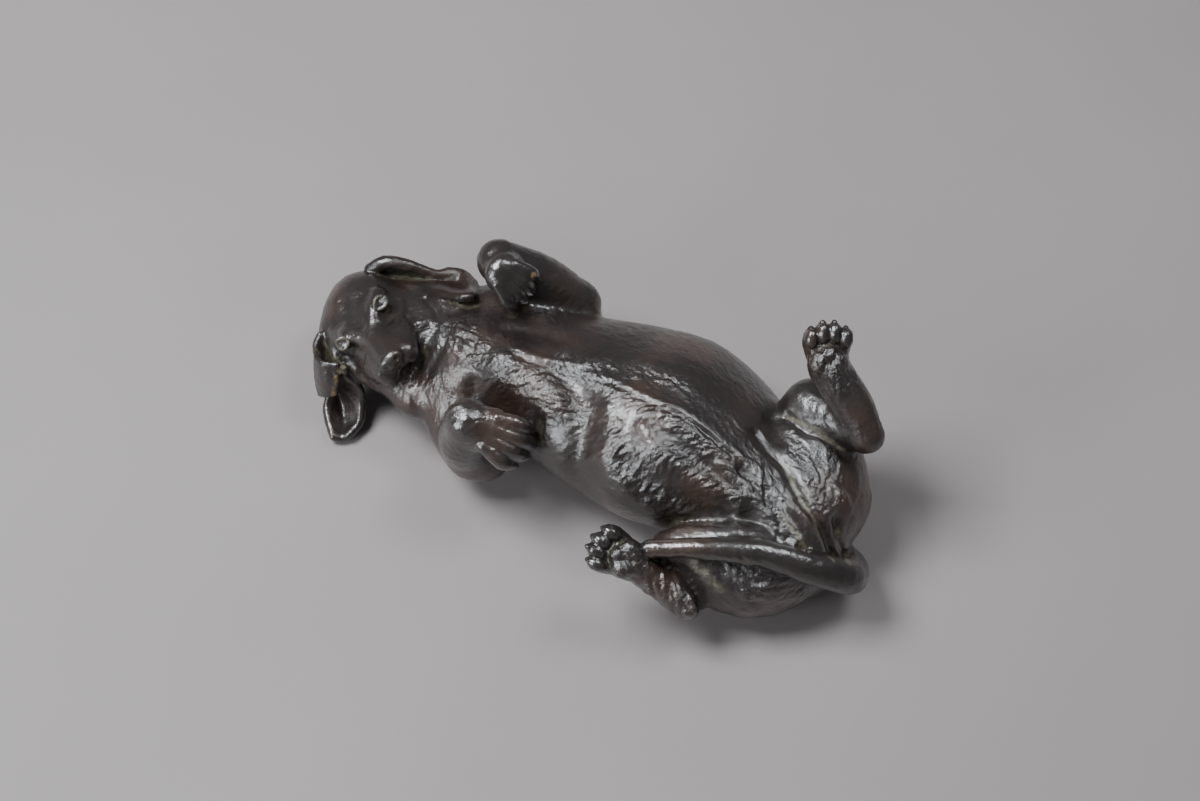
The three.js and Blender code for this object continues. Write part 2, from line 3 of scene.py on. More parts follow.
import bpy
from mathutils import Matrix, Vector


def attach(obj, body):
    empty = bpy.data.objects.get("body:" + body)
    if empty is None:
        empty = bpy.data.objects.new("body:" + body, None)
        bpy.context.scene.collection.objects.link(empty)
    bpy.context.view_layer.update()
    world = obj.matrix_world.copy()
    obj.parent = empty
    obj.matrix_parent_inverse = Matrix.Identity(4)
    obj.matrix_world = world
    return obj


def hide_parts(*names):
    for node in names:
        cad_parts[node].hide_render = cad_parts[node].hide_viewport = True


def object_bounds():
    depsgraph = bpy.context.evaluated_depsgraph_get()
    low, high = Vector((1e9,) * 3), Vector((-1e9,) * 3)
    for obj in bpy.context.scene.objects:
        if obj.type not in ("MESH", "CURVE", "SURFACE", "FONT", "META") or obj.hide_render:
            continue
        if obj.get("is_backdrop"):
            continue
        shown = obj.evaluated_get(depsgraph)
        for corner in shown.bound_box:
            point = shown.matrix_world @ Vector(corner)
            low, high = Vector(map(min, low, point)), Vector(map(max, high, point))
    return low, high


bl_info = {
    "name": "Bronze puppy",
    "version": (1, 0, 0),
    "blender": (4, 5, 0),
    "location": "View3D > Sidebar > Bronze puppy",
    "description": "Models a cast bronze puppy on its back, with its patina, and a plain stage for it",
    "category": "Add Mesh",
}

import bpy
import numpy as np
from bpy.props import FloatProperty, FloatVectorProperty, PointerProperty
from mathutils import Matrix, Vector

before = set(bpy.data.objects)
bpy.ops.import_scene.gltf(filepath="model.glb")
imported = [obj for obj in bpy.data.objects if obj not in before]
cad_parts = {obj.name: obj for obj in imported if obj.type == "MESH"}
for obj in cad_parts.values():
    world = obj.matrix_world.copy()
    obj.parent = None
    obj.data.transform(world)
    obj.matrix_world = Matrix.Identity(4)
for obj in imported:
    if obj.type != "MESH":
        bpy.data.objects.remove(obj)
CAD_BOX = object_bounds()

# The figure is drawn in millimetres, 280 long. OFFSET moves the drawing's middle to the frame's origin.
MM = 0.001
OFFSET = np.array([-0.49, 14.45, -1.6])
# The block of clay, and the height at which the underside is ground flat.
BLOCK_LOW = (-148, -96, -4)
BLOCK_HIGH = (150, 66, 124)
RESTING_CUT = 1.6
EAR_THICKNESS = 4.2
# The distance that empty clay starts with, how far round a form the clay is worked, and how many times
# taller than wide a crease's section is.
FAR = 1000.0
REACH = 5.0
TALL = 3.0
# How many widths away from its line a crease is still pressed.
CREASE_FADE = 2.4
# How far outside and inside the surface the clay is felt, to find hollow and proud places.
HOLLOW_PROBE = 3.5
PROUD_PROBE = 2.5
# The strands and the broader tufts: the size of a random cell, how far it is drawn out, and its draw.
STRANDS = {"cell": 1.6, "reach": 4, "seed": 11}
TUFTS = {"cell": 2.8, "reach": 6.5, "seed": 12}
# The hair's depth on plain places as a share of that on the tooled ones, the smooth edge above the
# underside, and the height over which the hair reaches its full depth there.
PLAIN_HAIR = 0.28
BARE_EDGE = 0.5
UNDERSIDE_FADE = 4
# How much a groove of the hair adds to the hollows that hold dust.
GROOVE_SHARE = 0.25
MOST_TRIANGLES = 196000

# The patina's noises, in cells to the metre: broad clouds, gloss, dusty grain and fine crackle.
CLOUDS = 28.0
GLOSS = 90.0
GRAIN = 420.0
CRACKLE = 480.0
WAX_IOR = 1.7
DUST_ROUGHNESS = 0.75
PAPER_CLOUDS = 6.0
PAPER_ROUGHNESS = 0.85

# The camera stands this far round from the figure's right side and this far up, in degrees, at a distance
# in metres from a point above the table, which it looks at.
CAMERA_ROUND = 26.0
CAMERA_UP = 58.0
CAMERA_DISTANCE = 0.8929
LOOK_HEIGHT = 0.04
TABLE_HALF = 3
DAYLIGHT = (0.9, 0.96, 1)
ROOM_TINT = (0.9, 0.95, 1, 1)
ROOM_LIGHT = 0.16


def unit(v):
    """A vector, or rows of vectors, divided by their length."""
    v = np.asarray(v, float)
    return v / np.maximum(np.linalg.norm(v, axis=-1, keepdims=True), 1e-9)


def through(values, t):
    """The smooth curve through evenly spaced values, read at t from 0 to 1: a Catmull-Rom cubic."""
    values = np.asarray(values, float)
    v = np.concatenate([2 * values[:1] - values[1:2], values, 2 * values[-1:] - values[-2:-1]])
    last = len(values) - 1
    x = np.clip(np.asarray(t, float), 0, 1) * last
    i = np.minimum(x.astype(int), last - 1)
    u = (x - i).reshape(-1, *[1] * (values.ndim - 1))
    v0, v1, v2, v3 = v[i], v[i + 1], v[i + 2], v[i + 3]
    bend = 2 * v0 - 5 * v1 + 4 * v2 - v3 + u * (3 * (v1 - v2) + v3 - v0)
    return v1 + 0.5 * u * (v2 - v0 + u * bend)


CORNERS = [np.array([c & 1, c >> 1 & 1, c >> 2]) for c in range(8)]


def mixed(block, i, f):
    """Values between a block's grid points: the eight around each, from i to i + 1, weighted by nearness,
    where f is the share of the way from i to i + 1."""
    total = 0
    for o in CORNERS:
        w = np.prod(np.where(o, f, 1 - f), axis=1)
        j = i + o
        total = total + w * block[j[:, 0], j[:, 1], j[:, 2]]
    return total


class Pose:
    """A local frame: forward, left and top directions at an origin."""

    def __init__(self, origin, forward, leftish):
        f = unit(forward)
        t = unit(np.cross(f, leftish))
        self.origin = np.asarray(origin, float)
        self.axes = np.array([f, np.cross(t, f), t])

    def at(self, x, y, z):
        """A point given forward, left and up from the origin."""
        return self.origin + np.array([x, y, z], float) @ self.axes


WORLD = Pose((0, 0, 0), (1, 0, 0), (0, 1, 0))


class Limb:
    """A ball of changing radius carried along a smooth curve. The distance is that to the nearest short
    straight step of the curve, less the radius there. Where flat is given, the section is that way as many
    times taller as the ratio says."""

    def __init__(self, points, radii, flat=None, ratio=1.0, steps=4):
        t = np.linspace(0, 1, (len(points) - 1) * steps + 1)
        self.path = through(points, t)
        self.size = through(radii, t)
        self.flat = np.zeros(3) if flat is None else unit(flat)
        self.squeeze = 1 / ratio - 1
        grow = max(self.size)
        self.box = self.path.min(0) - grow, self.path.max(0) + grow

    def distance(self, x, y, z, flow=False):
        best = None
        n = self.flat.astype(np.float32)
        for i in range(len(self.path) - 1):
            a = self.path[i].astype(np.float32)
            ab = (self.path[i + 1] - self.path[i]).astype(np.float32)
            r, dr = np.float32(self.size[i]), np.float32(self.size[i + 1] - self.size[i])
            px, py, pz = x - a[0], y - a[1], z - a[2]
            t = np.clip((px * ab[0] + py * ab[1] + pz * ab[2]) / (ab @ ab), 0, 1)
            px, py, pz = px - ab[0] * t, py - ab[1] * t, pz - ab[2] * t
            if self.squeeze:
                off = (px * n[0] + py * n[1] + pz * n[2]) * np.float32(self.squeeze)
                px, py, pz = px + n[0] * off, py + n[1] * off, pz + n[2] * off
            d = np.sqrt(px * px + py * py + pz * pz) - r - dr * t
            if flow:
                along = np.broadcast_to(unit(ab), (len(d), 3))
                if best is None:
                    way = np.array(along)
                else:
                    nearer = d < best
                    way[nearer] = along[nearer]
            best = d if best is None else np.minimum(best, d)
        return (best, way) if flow else best


class Muscle:
    """An ellipsoid turned to a pose. The distance is k0 (k0 - 1) / k1, where k0 is the scaled radius
    and k1 its slope."""

    def __init__(self, centre, half, pose=WORLD):
        self.centre, self.half, self.axes = np.asarray(centre, float), np.asarray(half, float), pose.axes
        self.box = self.centre - max(half), self.centre + max(half)

    def distance(self, x, y, z):
        c = self.centre.astype(np.float32)
        px, py, pz = x - c[0], y - c[1], z - c[2]
        k0 = k1 = 0
        for axis, h in zip(self.axes.astype(np.float32), self.half.astype(np.float32)):
            q = (px * axis[0] + py * axis[1] + pz * axis[2]) / h
            k0 = k0 + q * q
            k1 = k1 + q * q / (h * h)
        k0, k1 = np.sqrt(k0), np.sqrt(k1)
        return k0 * (k0 - 1) / np.maximum(k1, 1e-6)


class Trunk:
    """An elliptical section that changes along X and leans sideways as it rises. Each station holds
    x, y, z, half width and half height."""

    def __init__(self, stations, lean):
        s = np.asarray(stations, float)
        self.table = through(s, np.linspace(0, 1, 241))
        self.lean = np.float32(lean)
        wide = s[:, 3] + lean * s[:, 4]
        self.box = (
            np.array([s[0, 0], min(s[:, 1] - wide), min(s[:, 2] - s[:, 4])]),
            np.array([s[-1, 0], max(s[:, 1] + wide), max(s[:, 2] + s[:, 4])]),
        )

    def distance(self, x, y, z, flow=False):
        xs = self.table[:, 0]
        cy, cz, a, h = (np.interp(x, xs, self.table[:, k]).astype(np.float32) for k in (1, 2, 3, 4))
        dz = z - cz
        dy = y - cy + self.lean * dz
        k0 = np.sqrt((dy / a) ** 2 + (dz / h) ** 2)
        k1 = np.sqrt((dy / a / a) ** 2 + (dz / h / h) ** 2)
        side = k0 * (k0 - 1) / np.maximum(k1, 1e-6)
        end = np.maximum(xs[0] - x, x - xs[-1]).astype(np.float32)
        d = np.where(end > 0, np.sqrt(np.maximum(side, 0) ** 2 + end * end), side)
        return (d, np.broadcast_to(np.array([1.0, 0, 0]), (len(d), 3))) if flow else d


class Leaf:
    """A thin skin through rows of points, from root to tip and from edge to edge, such as an ear.
    It is a fan of thin limbs."""

    def __init__(self, rows, thickness, across=20, along=16):
        rows = np.asarray(rows, float)
        grid = through(rows.transpose(1, 0, 2), np.linspace(0, 1, across + 1))
        lines = through(grid.transpose(1, 0, 2), np.linspace(0, 1, along + 1)).transpose(1, 0, 2)
        r = thickness / 2
        self.ribs = [Limb(line, [r] * len(line), steps=1) for line in lines]
        self.box = lines.reshape(-1, 3).min(0) - r, lines.reshape(-1, 3).max(0) + r
        self.spine = lines[len(lines) // 2]

    def distance(self, x, y, z, flow=False):
        d = self.ribs[0].distance(x, y, z)
        for rib in self.ribs[1:]:
            d = np.minimum(d, rib.distance(x, y, z))
        if not flow:
            return d
        return d, np.broadcast_to(unit(self.spine[-1] - self.spine[0]), (len(d), 3))


class Clay:
    """A block of space held as signed distances on a grid. Forms are joined with soft fillets."""

    def __init__(self, low, high, spacing):
        self.low, self.spacing = np.asarray(low, float), spacing
        self.count = [int(np.ceil((h - l) / spacing)) + 1 for l, h in zip(low, high)]
        self.value = np.full(self.count, FAR, np.float32)
        self.coated = []

    def near(self, box, reach):
        """The cells within reach of a box, and their x, y and z as arrays that combine to a block."""
        spans, rulers = [], []
        for k in range(3):
            i0 = max(int((box[0][k] - reach - self.low[k]) / self.spacing), 0)
            i1 = min(int((box[1][k] + reach - self.low[k]) / self.spacing) + 2, self.count[k])
            spans.append(slice(i0, i1))
            ruler = (self.low[k] + self.spacing * np.arange(i0, i1)).astype(np.float32)
            rulers.append(ruler.reshape([-1 if k == q else 1 for q in range(3)]))
        return tuple(spans), rulers

    def add(self, form, blend, coat=False):
        """Joins a form: the smaller distance, less h squared times a quarter of the blend, where h falls
        from 1 where both are equal to 0 where they differ by the blend. A coated form leads the hair."""
        cells, (x, y, z) = self.near(form.box, blend + REACH)
        v, d = self.value[cells], form.distance(x, y, z)
        h = np.maximum(blend - np.abs(v - d), 0) / blend
        self.value[cells] = np.minimum(v, d) - h * h * (blend * 0.25)
        if coat:
            self.coated.append(form)

    def cut(self, form, blend):
        """Takes a form away, with the same soft edge."""
        cells, (x, y, z) = self.near(form.box, blend + REACH)
        v, d = self.value[cells], form.distance(x, y, z)
        h = np.maximum(blend - np.abs(v + d), 0) / blend
        self.value[cells] = np.maximum(v, -d) + h * h * (blend * 0.25)

    def press(self, points, width, depth):
        """Presses a crease along a line, or raises a ridge where the depth is negative. Its section is an
        upright ellipse, so a line that runs a little above or below the surface still marks it."""
        line = Limb(points, [0] * len(points), flat=(0, 0, 1), ratio=TALL)
        low, high = line.box
        reach = CREASE_FADE * width
        rise = np.array([0, 0, reach * (TALL - 1)])
        cells, (x, y, z) = self.near((low - rise, high + rise), reach)
        self.value[cells] += np.float32(depth) * np.exp(-((line.distance(x, y, z) / width) ** 2))

    def read(self, p):
        """The distances at points p, mixed from the eight grid values around each."""
        q = (p - self.low) / self.spacing
        i = np.clip(q.astype(int), 0, np.array(self.count) - 2)
        return mixed(self.value, i, (q - i).astype(np.float32))

    def slope(self, p):
        """The outward direction at points p, from differences of the distance."""
        h = self.spacing
        steps = np.eye(3) * h
        return unit(np.stack([self.read(p + s) - self.read(p - s) for s in steps], axis=1))

    def skin(self):
        """The surface where the distance is nought: one point in each cell that it crosses, at the mean
        of the crossings on the cell's edges, and one four-sided face for each grid edge it crosses."""
        v = self.value
        inside = v < 0
        n = [c - 1 for c in self.count]
        total = np.zeros(n, np.int8)
        for o in CORNERS:
            total += inside[tuple(slice(start, start + m) for start, m in zip(o, n))]
        cells = np.argwhere((total > 0) & (total < 8))
        number = np.full(n, -1, np.int32)
        number[tuple(cells.T)] = np.arange(len(cells))
        value = [v[tuple((cells + o).T)] for o in CORNERS]
        place = np.zeros((len(cells), 3))
        hits = np.zeros(len(cells))
        for a in range(8):
            for b in (a | 1, a | 2, a | 4):
                if a == b:
                    continue
                crossed = (value[a] < 0) != (value[b] < 0)
                t = np.where(crossed, value[a] / np.where(crossed, value[a] - value[b], 1), 0)
                place += crossed[:, None] * (CORNERS[a] + t[:, None] * (CORNERS[b] - CORNERS[a]))
                hits += crossed
        points = self.low + self.spacing * (cells + place / hits[:, None])
        faces = []
        one = np.eye(3, dtype=int)
        for k in range(3):
            i, j = (k + 1) % 3, (k + 2) % 3
            lower = tuple(slice(0, -1) if q == k else slice(None) for q in range(3))
            upper = tuple(slice(1, None) if q == k else slice(None) for q in range(3))
            edges = np.argwhere(inside[lower] != inside[upper])
            edges = edges[(edges[:, i] > 0) & (edges[:, j] > 0)]
            ring = [edges - one[i] - one[j], edges - one[j], edges, edges - one[i]]
            quad = np.stack([number[tuple(r.T)] for r in ring], axis=1)
            out = inside[tuple(edges.T)]
            faces.append(np.where(out[:, None], quad, quad[:, ::-1]))
        return points, np.concatenate(faces)


def speckle(p, cell, seed):
    """Smooth random values from -1 to 1: a fixed cube of random numbers that repeats, read at p / cell and
    mixed with an eased share."""
    side, shift = 64, 17.3
    cube = np.random.default_rng(seed).uniform(-1, 1, (side, side, side)).astype(np.float32)
    q = p / cell + shift
    i = np.floor(q).astype(int)
    f = (q - i).astype(np.float32)
    return mixed(np.pad(cube, (0, 1), mode="wrap"), i % side, f * f * (3 - 2 * f))


def strokes(p, way, cell, reach, seed):
    """Combed strands, about 0 on average: random values averaged along the way the hair lies, so they draw
    out into streaks, and then folded at nought, which leaves round strands between narrow grooves."""
    steps = np.linspace(-1, 1, 9)
    weights = 0.5 + 0.5 * np.cos(steps * np.pi)
    mean = sum(w * speckle(p + way * (s * reach), cell, seed) for s, w in zip(steps, weights))
    mean = np.abs(mean / np.sqrt((weights**2).sum()))
    return mean - mean.mean()


def near_line(p, points, width):
    """1 on a line through the points, falling to 0 over the width."""
    d = Limb(points, [0] * len(points)).distance(*p.T.astype(np.float32))
    return np.exp(-((d / width) ** 2))


def near_ball(p, centre, radius):
    """1 inside a ball, falling softly to 0 at its edge."""
    d = np.linalg.norm(p - np.asarray(centre), axis=1)
    return np.clip((radius - d) / (0.4 * radius), 0, 1)


# Head, turned to look over the breast.
HEAD = Pose((-117, -6, 40), (0.648, -0.6, 0.469), (0.379, 0.787, 0.485))


def eye_place(side):
    """The middle of an eye's opening, on the left for 1 and on the right for -1."""
    return HEAD.at(19.2, side * 12.9, 8.1)


def model_trunk(clay):
    """The trunk, with the rump, the breast and the belly's round on it."""
    stations = [
        [-82, -1, 33, 20, 21],
        [-66, 1, 33, 26, 27],
        [-42, 3.5, 34, 32.5, 32],
        [-15, 3, 34, 40.5, 34],
        [12, 3, 35, 47, 36],
        [36, 3, 36, 48.5, 37],
        [60, 2, 34, 42.5, 34],
        [84, -4, 32, 35, 31],
        [102, -9, 30, 31, 28],
        [114, -12, 29, 25, 24],
    ]
    clay.add(Trunk(stations, 0.28), 4, coat=True)
    clay.add(Muscle([101, -14, 29], [20, 27, 26]), 12)
    clay.add(Limb([[-58, -12, 52], [-38, -12, 56], [-14, -11, 58]], [8, 10, 8]), 16)
    clay.add(Muscle([34, -8, 46], [34, 28, 26]), 18)


def model_neck(clay):
    """The neck, turned up to the head, and the loose skin on its far side."""
    nape = [[-58, 2, 34], [-80, 0, 33], [-99, -4, 32], HEAD.at(-8, 0, -6)]
    clay.add(Limb(nape, [27, 23, 20, 17]), 8, coat=True)
    clay.add(Limb([[-66, 16, 34], [-84, 16, 30], [-104, 12, 30]], [18, 15, 12]), 10)


def model_head(clay):
    """Skull, near temple, cheeks, brows, broad lips, bridge, chin, nose, near jowl and throat, then the
    eyes, the mouth, the nostrils and the folds under the eyes."""
    at = HEAD.at
    clay.add(Muscle(at(-6, 0, -1), [22, 18.5, 16.5], HEAD), 6)
    clay.add(Muscle(at(-4, -9, 1), [14, 11.2, 10.5], HEAD), 6)
    for side in (-1, 1):
        clay.add(Muscle(at(2, side * 10.5, -9), [15, 9.5, 9.5], HEAD), 6)
        brow = [at(21, side * 5.5, 5.5), at(16, side * 9, 7.6), at(9, side * 13.5, 7)]
        clay.add(Limb(brow, [2.2, 3, 2.2]), 7)
        lip = [at(13, side * 8, -7), at(27, side * 7.6, -7.5), at(40, side * 6, -6.8)]
        clay.add(Limb(lip, [9, 8.4, 6.2]), 4)
    clay.add(Limb([at(12, 0, 2), at(26, 0, 0), at(41, 0, -1.6)], [8.6, 6.8, 5.2]), 5, coat=True)
    clay.add(Limb([at(4, 0, -13), at(22, 0, -14), at(36, 0, -12.5)], [9, 6.4, 4.2]), 2)
    clay.add(Muscle(at(45, 0, -2), [4, 6.4, 4.6], HEAD), 1.4)
    clay.add(Muscle(at(14, -11, -13), [10, 7.5, 7.5], HEAD), 5)
    throat = [
        [-118, -21, 37],
        [-112, -23, 33],
        [-105, -24.5, 31],
        [-97, -26, 33],
        [-88, -27.5, 34.5],
        [-77, -30, 34],
    ]
    clay.add(Limb(throat, [7, 8, 8.5, 9, 9.5, 11]), 5)
    for side in (-1, 1):
        model_eye(clay, side)
        mouth = [at(17, side * 16, -9), at(26, side * 14, -12), at(36, side * 10, -12)]
        if side > 0:
            mouth.append(at(44, side * 3, -10.5))
        clay.press(mouth, 1.4, 1.4 - 0.4 * side)
        clay.press([at(46, side * 7, -3), at(47, side * 3, -6.5), at(48, 0, -8), at(46, 0, -11)], 0.9, 0.9)
        clay.cut(Muscle(at(49, side * 3.4, -1.8), [1.7, 1.5, 1.4], HEAD), 0.8)
        clay.press([at(26, side * 10, 3), at(21, side * 15, 0.5), at(12, side * 18, 0)], 1.5, 0.8)
        clay.press([at(28, side * 12, -2), at(20, side * 16.6, -4.5), at(10, side * 19, -6)], 1.5, 0.8)
    clay.press([at(2, 0, 16), at(12, 0, 14), at(22, 0, 8.6)], 2.2, 1.3)
    clay.press([at(32, 0, 6), at(38, 0, 4.4), at(43, 0, 3)], 2.4, 0.5)


def model_eye(clay, side):
    """An eyeball in a shallow socket, between two lids that meet in corners, with a ring round its pupil."""
    look = unit(np.array([0.8, side * 0.36, 0.47]) @ HEAD.axes)
    face = eye_place(side)
    across = unit(np.cross(look, HEAD.axes[2]))
    above = np.cross(across, look)
    clay.cut(Muscle(face + look * 3.8, [4.9, 4.9, 4.9]), 2.4)
    clay.add(Muscle(face - look * 2.9, [3.7, 3.7, 3.7]), 0.4)
    for rise, thick in ((2.7, 1.05), (-2.4, 0.85)):
        ends = [face - look * 1 + across * k for k in (-4, 4)]
        halves = [face - look * 0.3 + across * k + above * (rise * 0.75) for k in (-2.2, 2.2)]
        lid = [ends[0], halves[0], face + look * 0.1 + above * rise, halves[1], ends[1]]
        clay.add(Limb(lid, [0.5, 0.9 * thick, thick, 0.9 * thick, 0.5], steps=3), 0.6)
    turn = np.linspace(0, 2 * np.pi, 13)[:, None]
    clay.press(face + look * 0.6 + 1.3 * (np.cos(turn) * across + np.sin(turn) * above), 0.4, 0.35)
    clay.press([face, face + look], 0.5, 0.5)


def model_ears(clay):
    """The left ear lies back on the neck, hollow side up, with its far edge rolled over. The right ear
    hangs as a scoop, with its upper edge folded over towards the front."""
    left = [
        [[-125, 14, 47], [-121, 15, 41], [-115, 10, 43]],
        [[-119, 19, 49.5], [-115, 18.5, 41.5], [-108, 12.5, 44.5]],
        [[-112, 21.3, 49.5], [-107, 20.5, 41.5], [-99.5, 12.5, 48]],
        [[-104.5, 23.5, 47.5], [-99.5, 21.5, 42], [-90, 11, 54.2]],
        [[-96, 25.5, 46], [-93, 21, 44.5], [-84, 9.8, 57.8]],
        [[-91.5, 30.5, 44.5], [-87, 23, 43.5], [-79, 9, 60]],
        [[-85.5, 32.3, 43.5], [-81, 23, 45.5], [-73, 9, 63]],
        [[-77, 26, 49.5], [-73.5, 18, 56], [-69, 11, 63.5]],
    ]
    under = [[-104, 9, 42], [-93, 8, 46], [-83, 7.5, 49.5], [-73, 8.5, 52]]
    clay.add(Limb(under, [5, 6, 7, 7]), 4)
    clay.add(Leaf(left, EAR_THICKNESS), 1.2, coat=True)
    rolled = [[-124, 13.5, 47.5], [-119, 18, 50.5], [-110, 21.5, 50], [-102, 24, 47]]
    clay.add(Limb(rolled, [3, 3.2, 2.8, 2]), 1.5)
    clay.add(Limb([[-119, 11, 34], [-104, 16, 30], [-90, 22, 30]], [8, 9, 9]), 4)
    clay.add(Muscle([-125, -17, 33], [9, 9, 9]), 5)
    right = [
        [[-130, -24, 39], [-128, -23, 32], [-121, -27, 38]],
        [[-130.5, -28, 34], [-125, -28, 28], [-117, -31, 34]],
        [[-125.5, -33, 24], [-121, -31, 19], [-113, -33, 30]],
        [[-121.5, -36.3, 14], [-117, -33.5, 10], [-108, -32, 23]],
        [[-120, -42.6, 9], [-113, -38.5, 4.6], [-106, -34, 15]],
        [[-113.8, -49.8, 7], [-109.5, -44.5, 4], [-103.3, -41, 8.5]],
        [[-111, -52.3, 6], [-108, -51, 5], [-105, -48.5, 6.5]],
    ]
    clay.add(Leaf(right, EAR_THICKNESS), 1.5, coat=True)
    flap = [
        [[-127.5, -33, 35.5], [-122, -36, 37.5], [-116, -34, 38]],
        [[-125.5, -38, 26], [-120, -40, 29.5], [-115, -38, 31]],
        [[-123, -41, 18.5], [-119, -41.5, 21.5], [-116, -39.5, 22]],
    ]
    clay.add(Leaf(flap, 3), 1)
    clay.add(Muscle([-113.3, -33, 35], [2.4, 2.4, 2.4]), 1.2)


def model_paw(clay, paw, s, pads=False, dewclaw=0):
    """A palm and four close toes with claws, in a frame that points to the toes with the back of the paw
    on top. The sole has two round pads and one for each toe."""
    at = paw.at
    clay.add(Muscle(at(-2 * s, 0, -1 * s), [8.4 * s, 8.8 * s, 5.8 * s], paw), 3)
    clay.add(Muscle(at(5 * s, 0, -0.4 * s), [9 * s, 9 * s, 3.4 * s], paw), 2)
    for lane in (-1.5, -0.5, 0.5, 1.5):
        reach = (11.5 if abs(lane) < 1 else 9) * s
        y = lane * 4.9 * s
        toe = [at(-3 * s, y * 0.75, 2.2 * s), at(reach * 0.55, y, 3 * s), at(reach, y, -0.4 * s)]
        clay.add(Limb(toe, [2.7 * s, 3.2 * s, 3.2 * s]), 0.7, coat=True)
        claw = [at(reach + 1.4 * s, y, 0.8 * s), at(reach + 3.2 * s, y, -0.4 * s)]
        clay.add(Limb(claw, [1.7 * s, 1.3]), 0.6)
        if pads:
            clay.add(Muscle(at(reach - 0.8 * s, y, -3.4 * s), [4.4 * s, 2.8 * s, 2.8 * s], paw), 0.6)
    if pads:
        clay.add(Muscle(at(2.6 * s, 0, -4.6 * s), [3.4 * s, 3.6 * s, 3.2 * s], paw), 0.8)
        for lane in (-1, 1):
            clay.add(Muscle(at(-2 * s, lane * 4.2 * s, -4.8 * s), [5.2 * s, 4.1 * s, 3.8 * s], paw), 0.8)
    if dewclaw:
        claw = [at(-9 * s, dewclaw * 7 * s, -2 * s), at(-5 * s, dewclaw * 9.5 * s, -5 * s)]
        clay.add(Limb(claw, [2.8 * s, 1.5 * s]), 1)


def model_forelegs(clay):
    """Shoulder, upper arm, forearm and paw of the left foreleg, which droops over the breast, and then of
    the right one, which stands up from its elbow."""
    clay.add(Muscle([-48, 20, 38], [24, 15, 22]), 8)
    clay.add(Limb([[-58, 16, 42], [-42, 30, 43], [-31, 39, 44]], [17, 14, 10.5]), 6, coat=True)
    clay.add(Limb([[-31, 40, 45], [-46, 34, 61], [-62, 25, 77]], [10, 11.5, 10]), 4, coat=True)
    model_paw(clay, Pose((-53.5, 17.5, 80), (0.625, 0.1, -0.77), (0.29, 0.87, 0.41)), 1.04)
    clay.add(Muscle([-55, -18, 34], [24, 16, 23]), 8)
    clay.add(Limb([[-60, -20, 36], [-53, -32, 29], [-42, -41, 26]], [18, 16, 12]), 6, coat=True)
    clay.add(Limb([[-46, -38, 26], [-36, -41, 26]], [11, 10]), 6)
    clay.add(Limb([[-43, -42, 28], [-43, -46, 45], [-40, -47, 62]], [12, 12, 10.5]), 4, coat=True)
    model_paw(clay, Pose((-27, -46, 60), (0.86, 0.18, -0.48), (0.2, 0.84, 0.5)), 1.2, dewclaw=-1)


def model_hind_legs(clay):
    """Thigh, shank, hock and paw of the left hind leg, which is raised, and then of the right one, which
    lies folded on the table."""
    clay.add(Limb([[104, 0, 34], [97, 14, 43], [89, 26, 54]], [25, 21, 13]), 10, coat=True)
    clay.add(Limb([[89, 28, 58], [103, 23, 62], [116, 18, 68]], [11.5, 11.5, 7.4]), 5, coat=True)
    clay.add(Limb([[118, 17, 70], [107, 24, 78], [94, 29, 88]], [7.2, 8.8, 8.6]), 3, coat=True)
    model_paw(clay, Pose((91, 32, 93), (-0.3, 0.6, 0.75), (0.77, 0.45, 0.05)), 1, pads=True)
    clay.add(Limb([[103, -23, 28], [90, -40, 27], [66, -51, 34]], [25, 23, 14.5]), 5, coat=True)
    clay.add(Limb([[98, -34, 41], [84, -40, 42], [64, -48, 38]], [10, 12.5, 11]), 5)
    clay.add(Limb([[63, -55, 34], [72, -61, 30], [76, -67, 28]], [12.5, 10, 7]), 4, coat=True)
    clay.add(Limb([[75, -70, 31], [62, -70, 38], [50, -70, 45]], [7.6, 6.4, 6.6]), 2.5, coat=True)
    model_paw(clay, Pose((44, -70, 48), (-0.93, -0.12, 0.34), (0.06, 0.87, 0.47)), 1, pads=True)


def model_tail(clay):
    """The tail, carried round the right thigh to the hind foot."""
    line = [
        [116, -14, 14],
        [129, -20, 22],
        [132, -30, 34],
        [119, -38, 45],
        [98, -44.5, 52],
        [76, -54, 54],
        [54, -63, 51],
    ]
    clay.add(Limb(line, [11, 8.8, 7.8, 7.2, 6.2, 4.8, 3.9]), 1.6, coat=True)


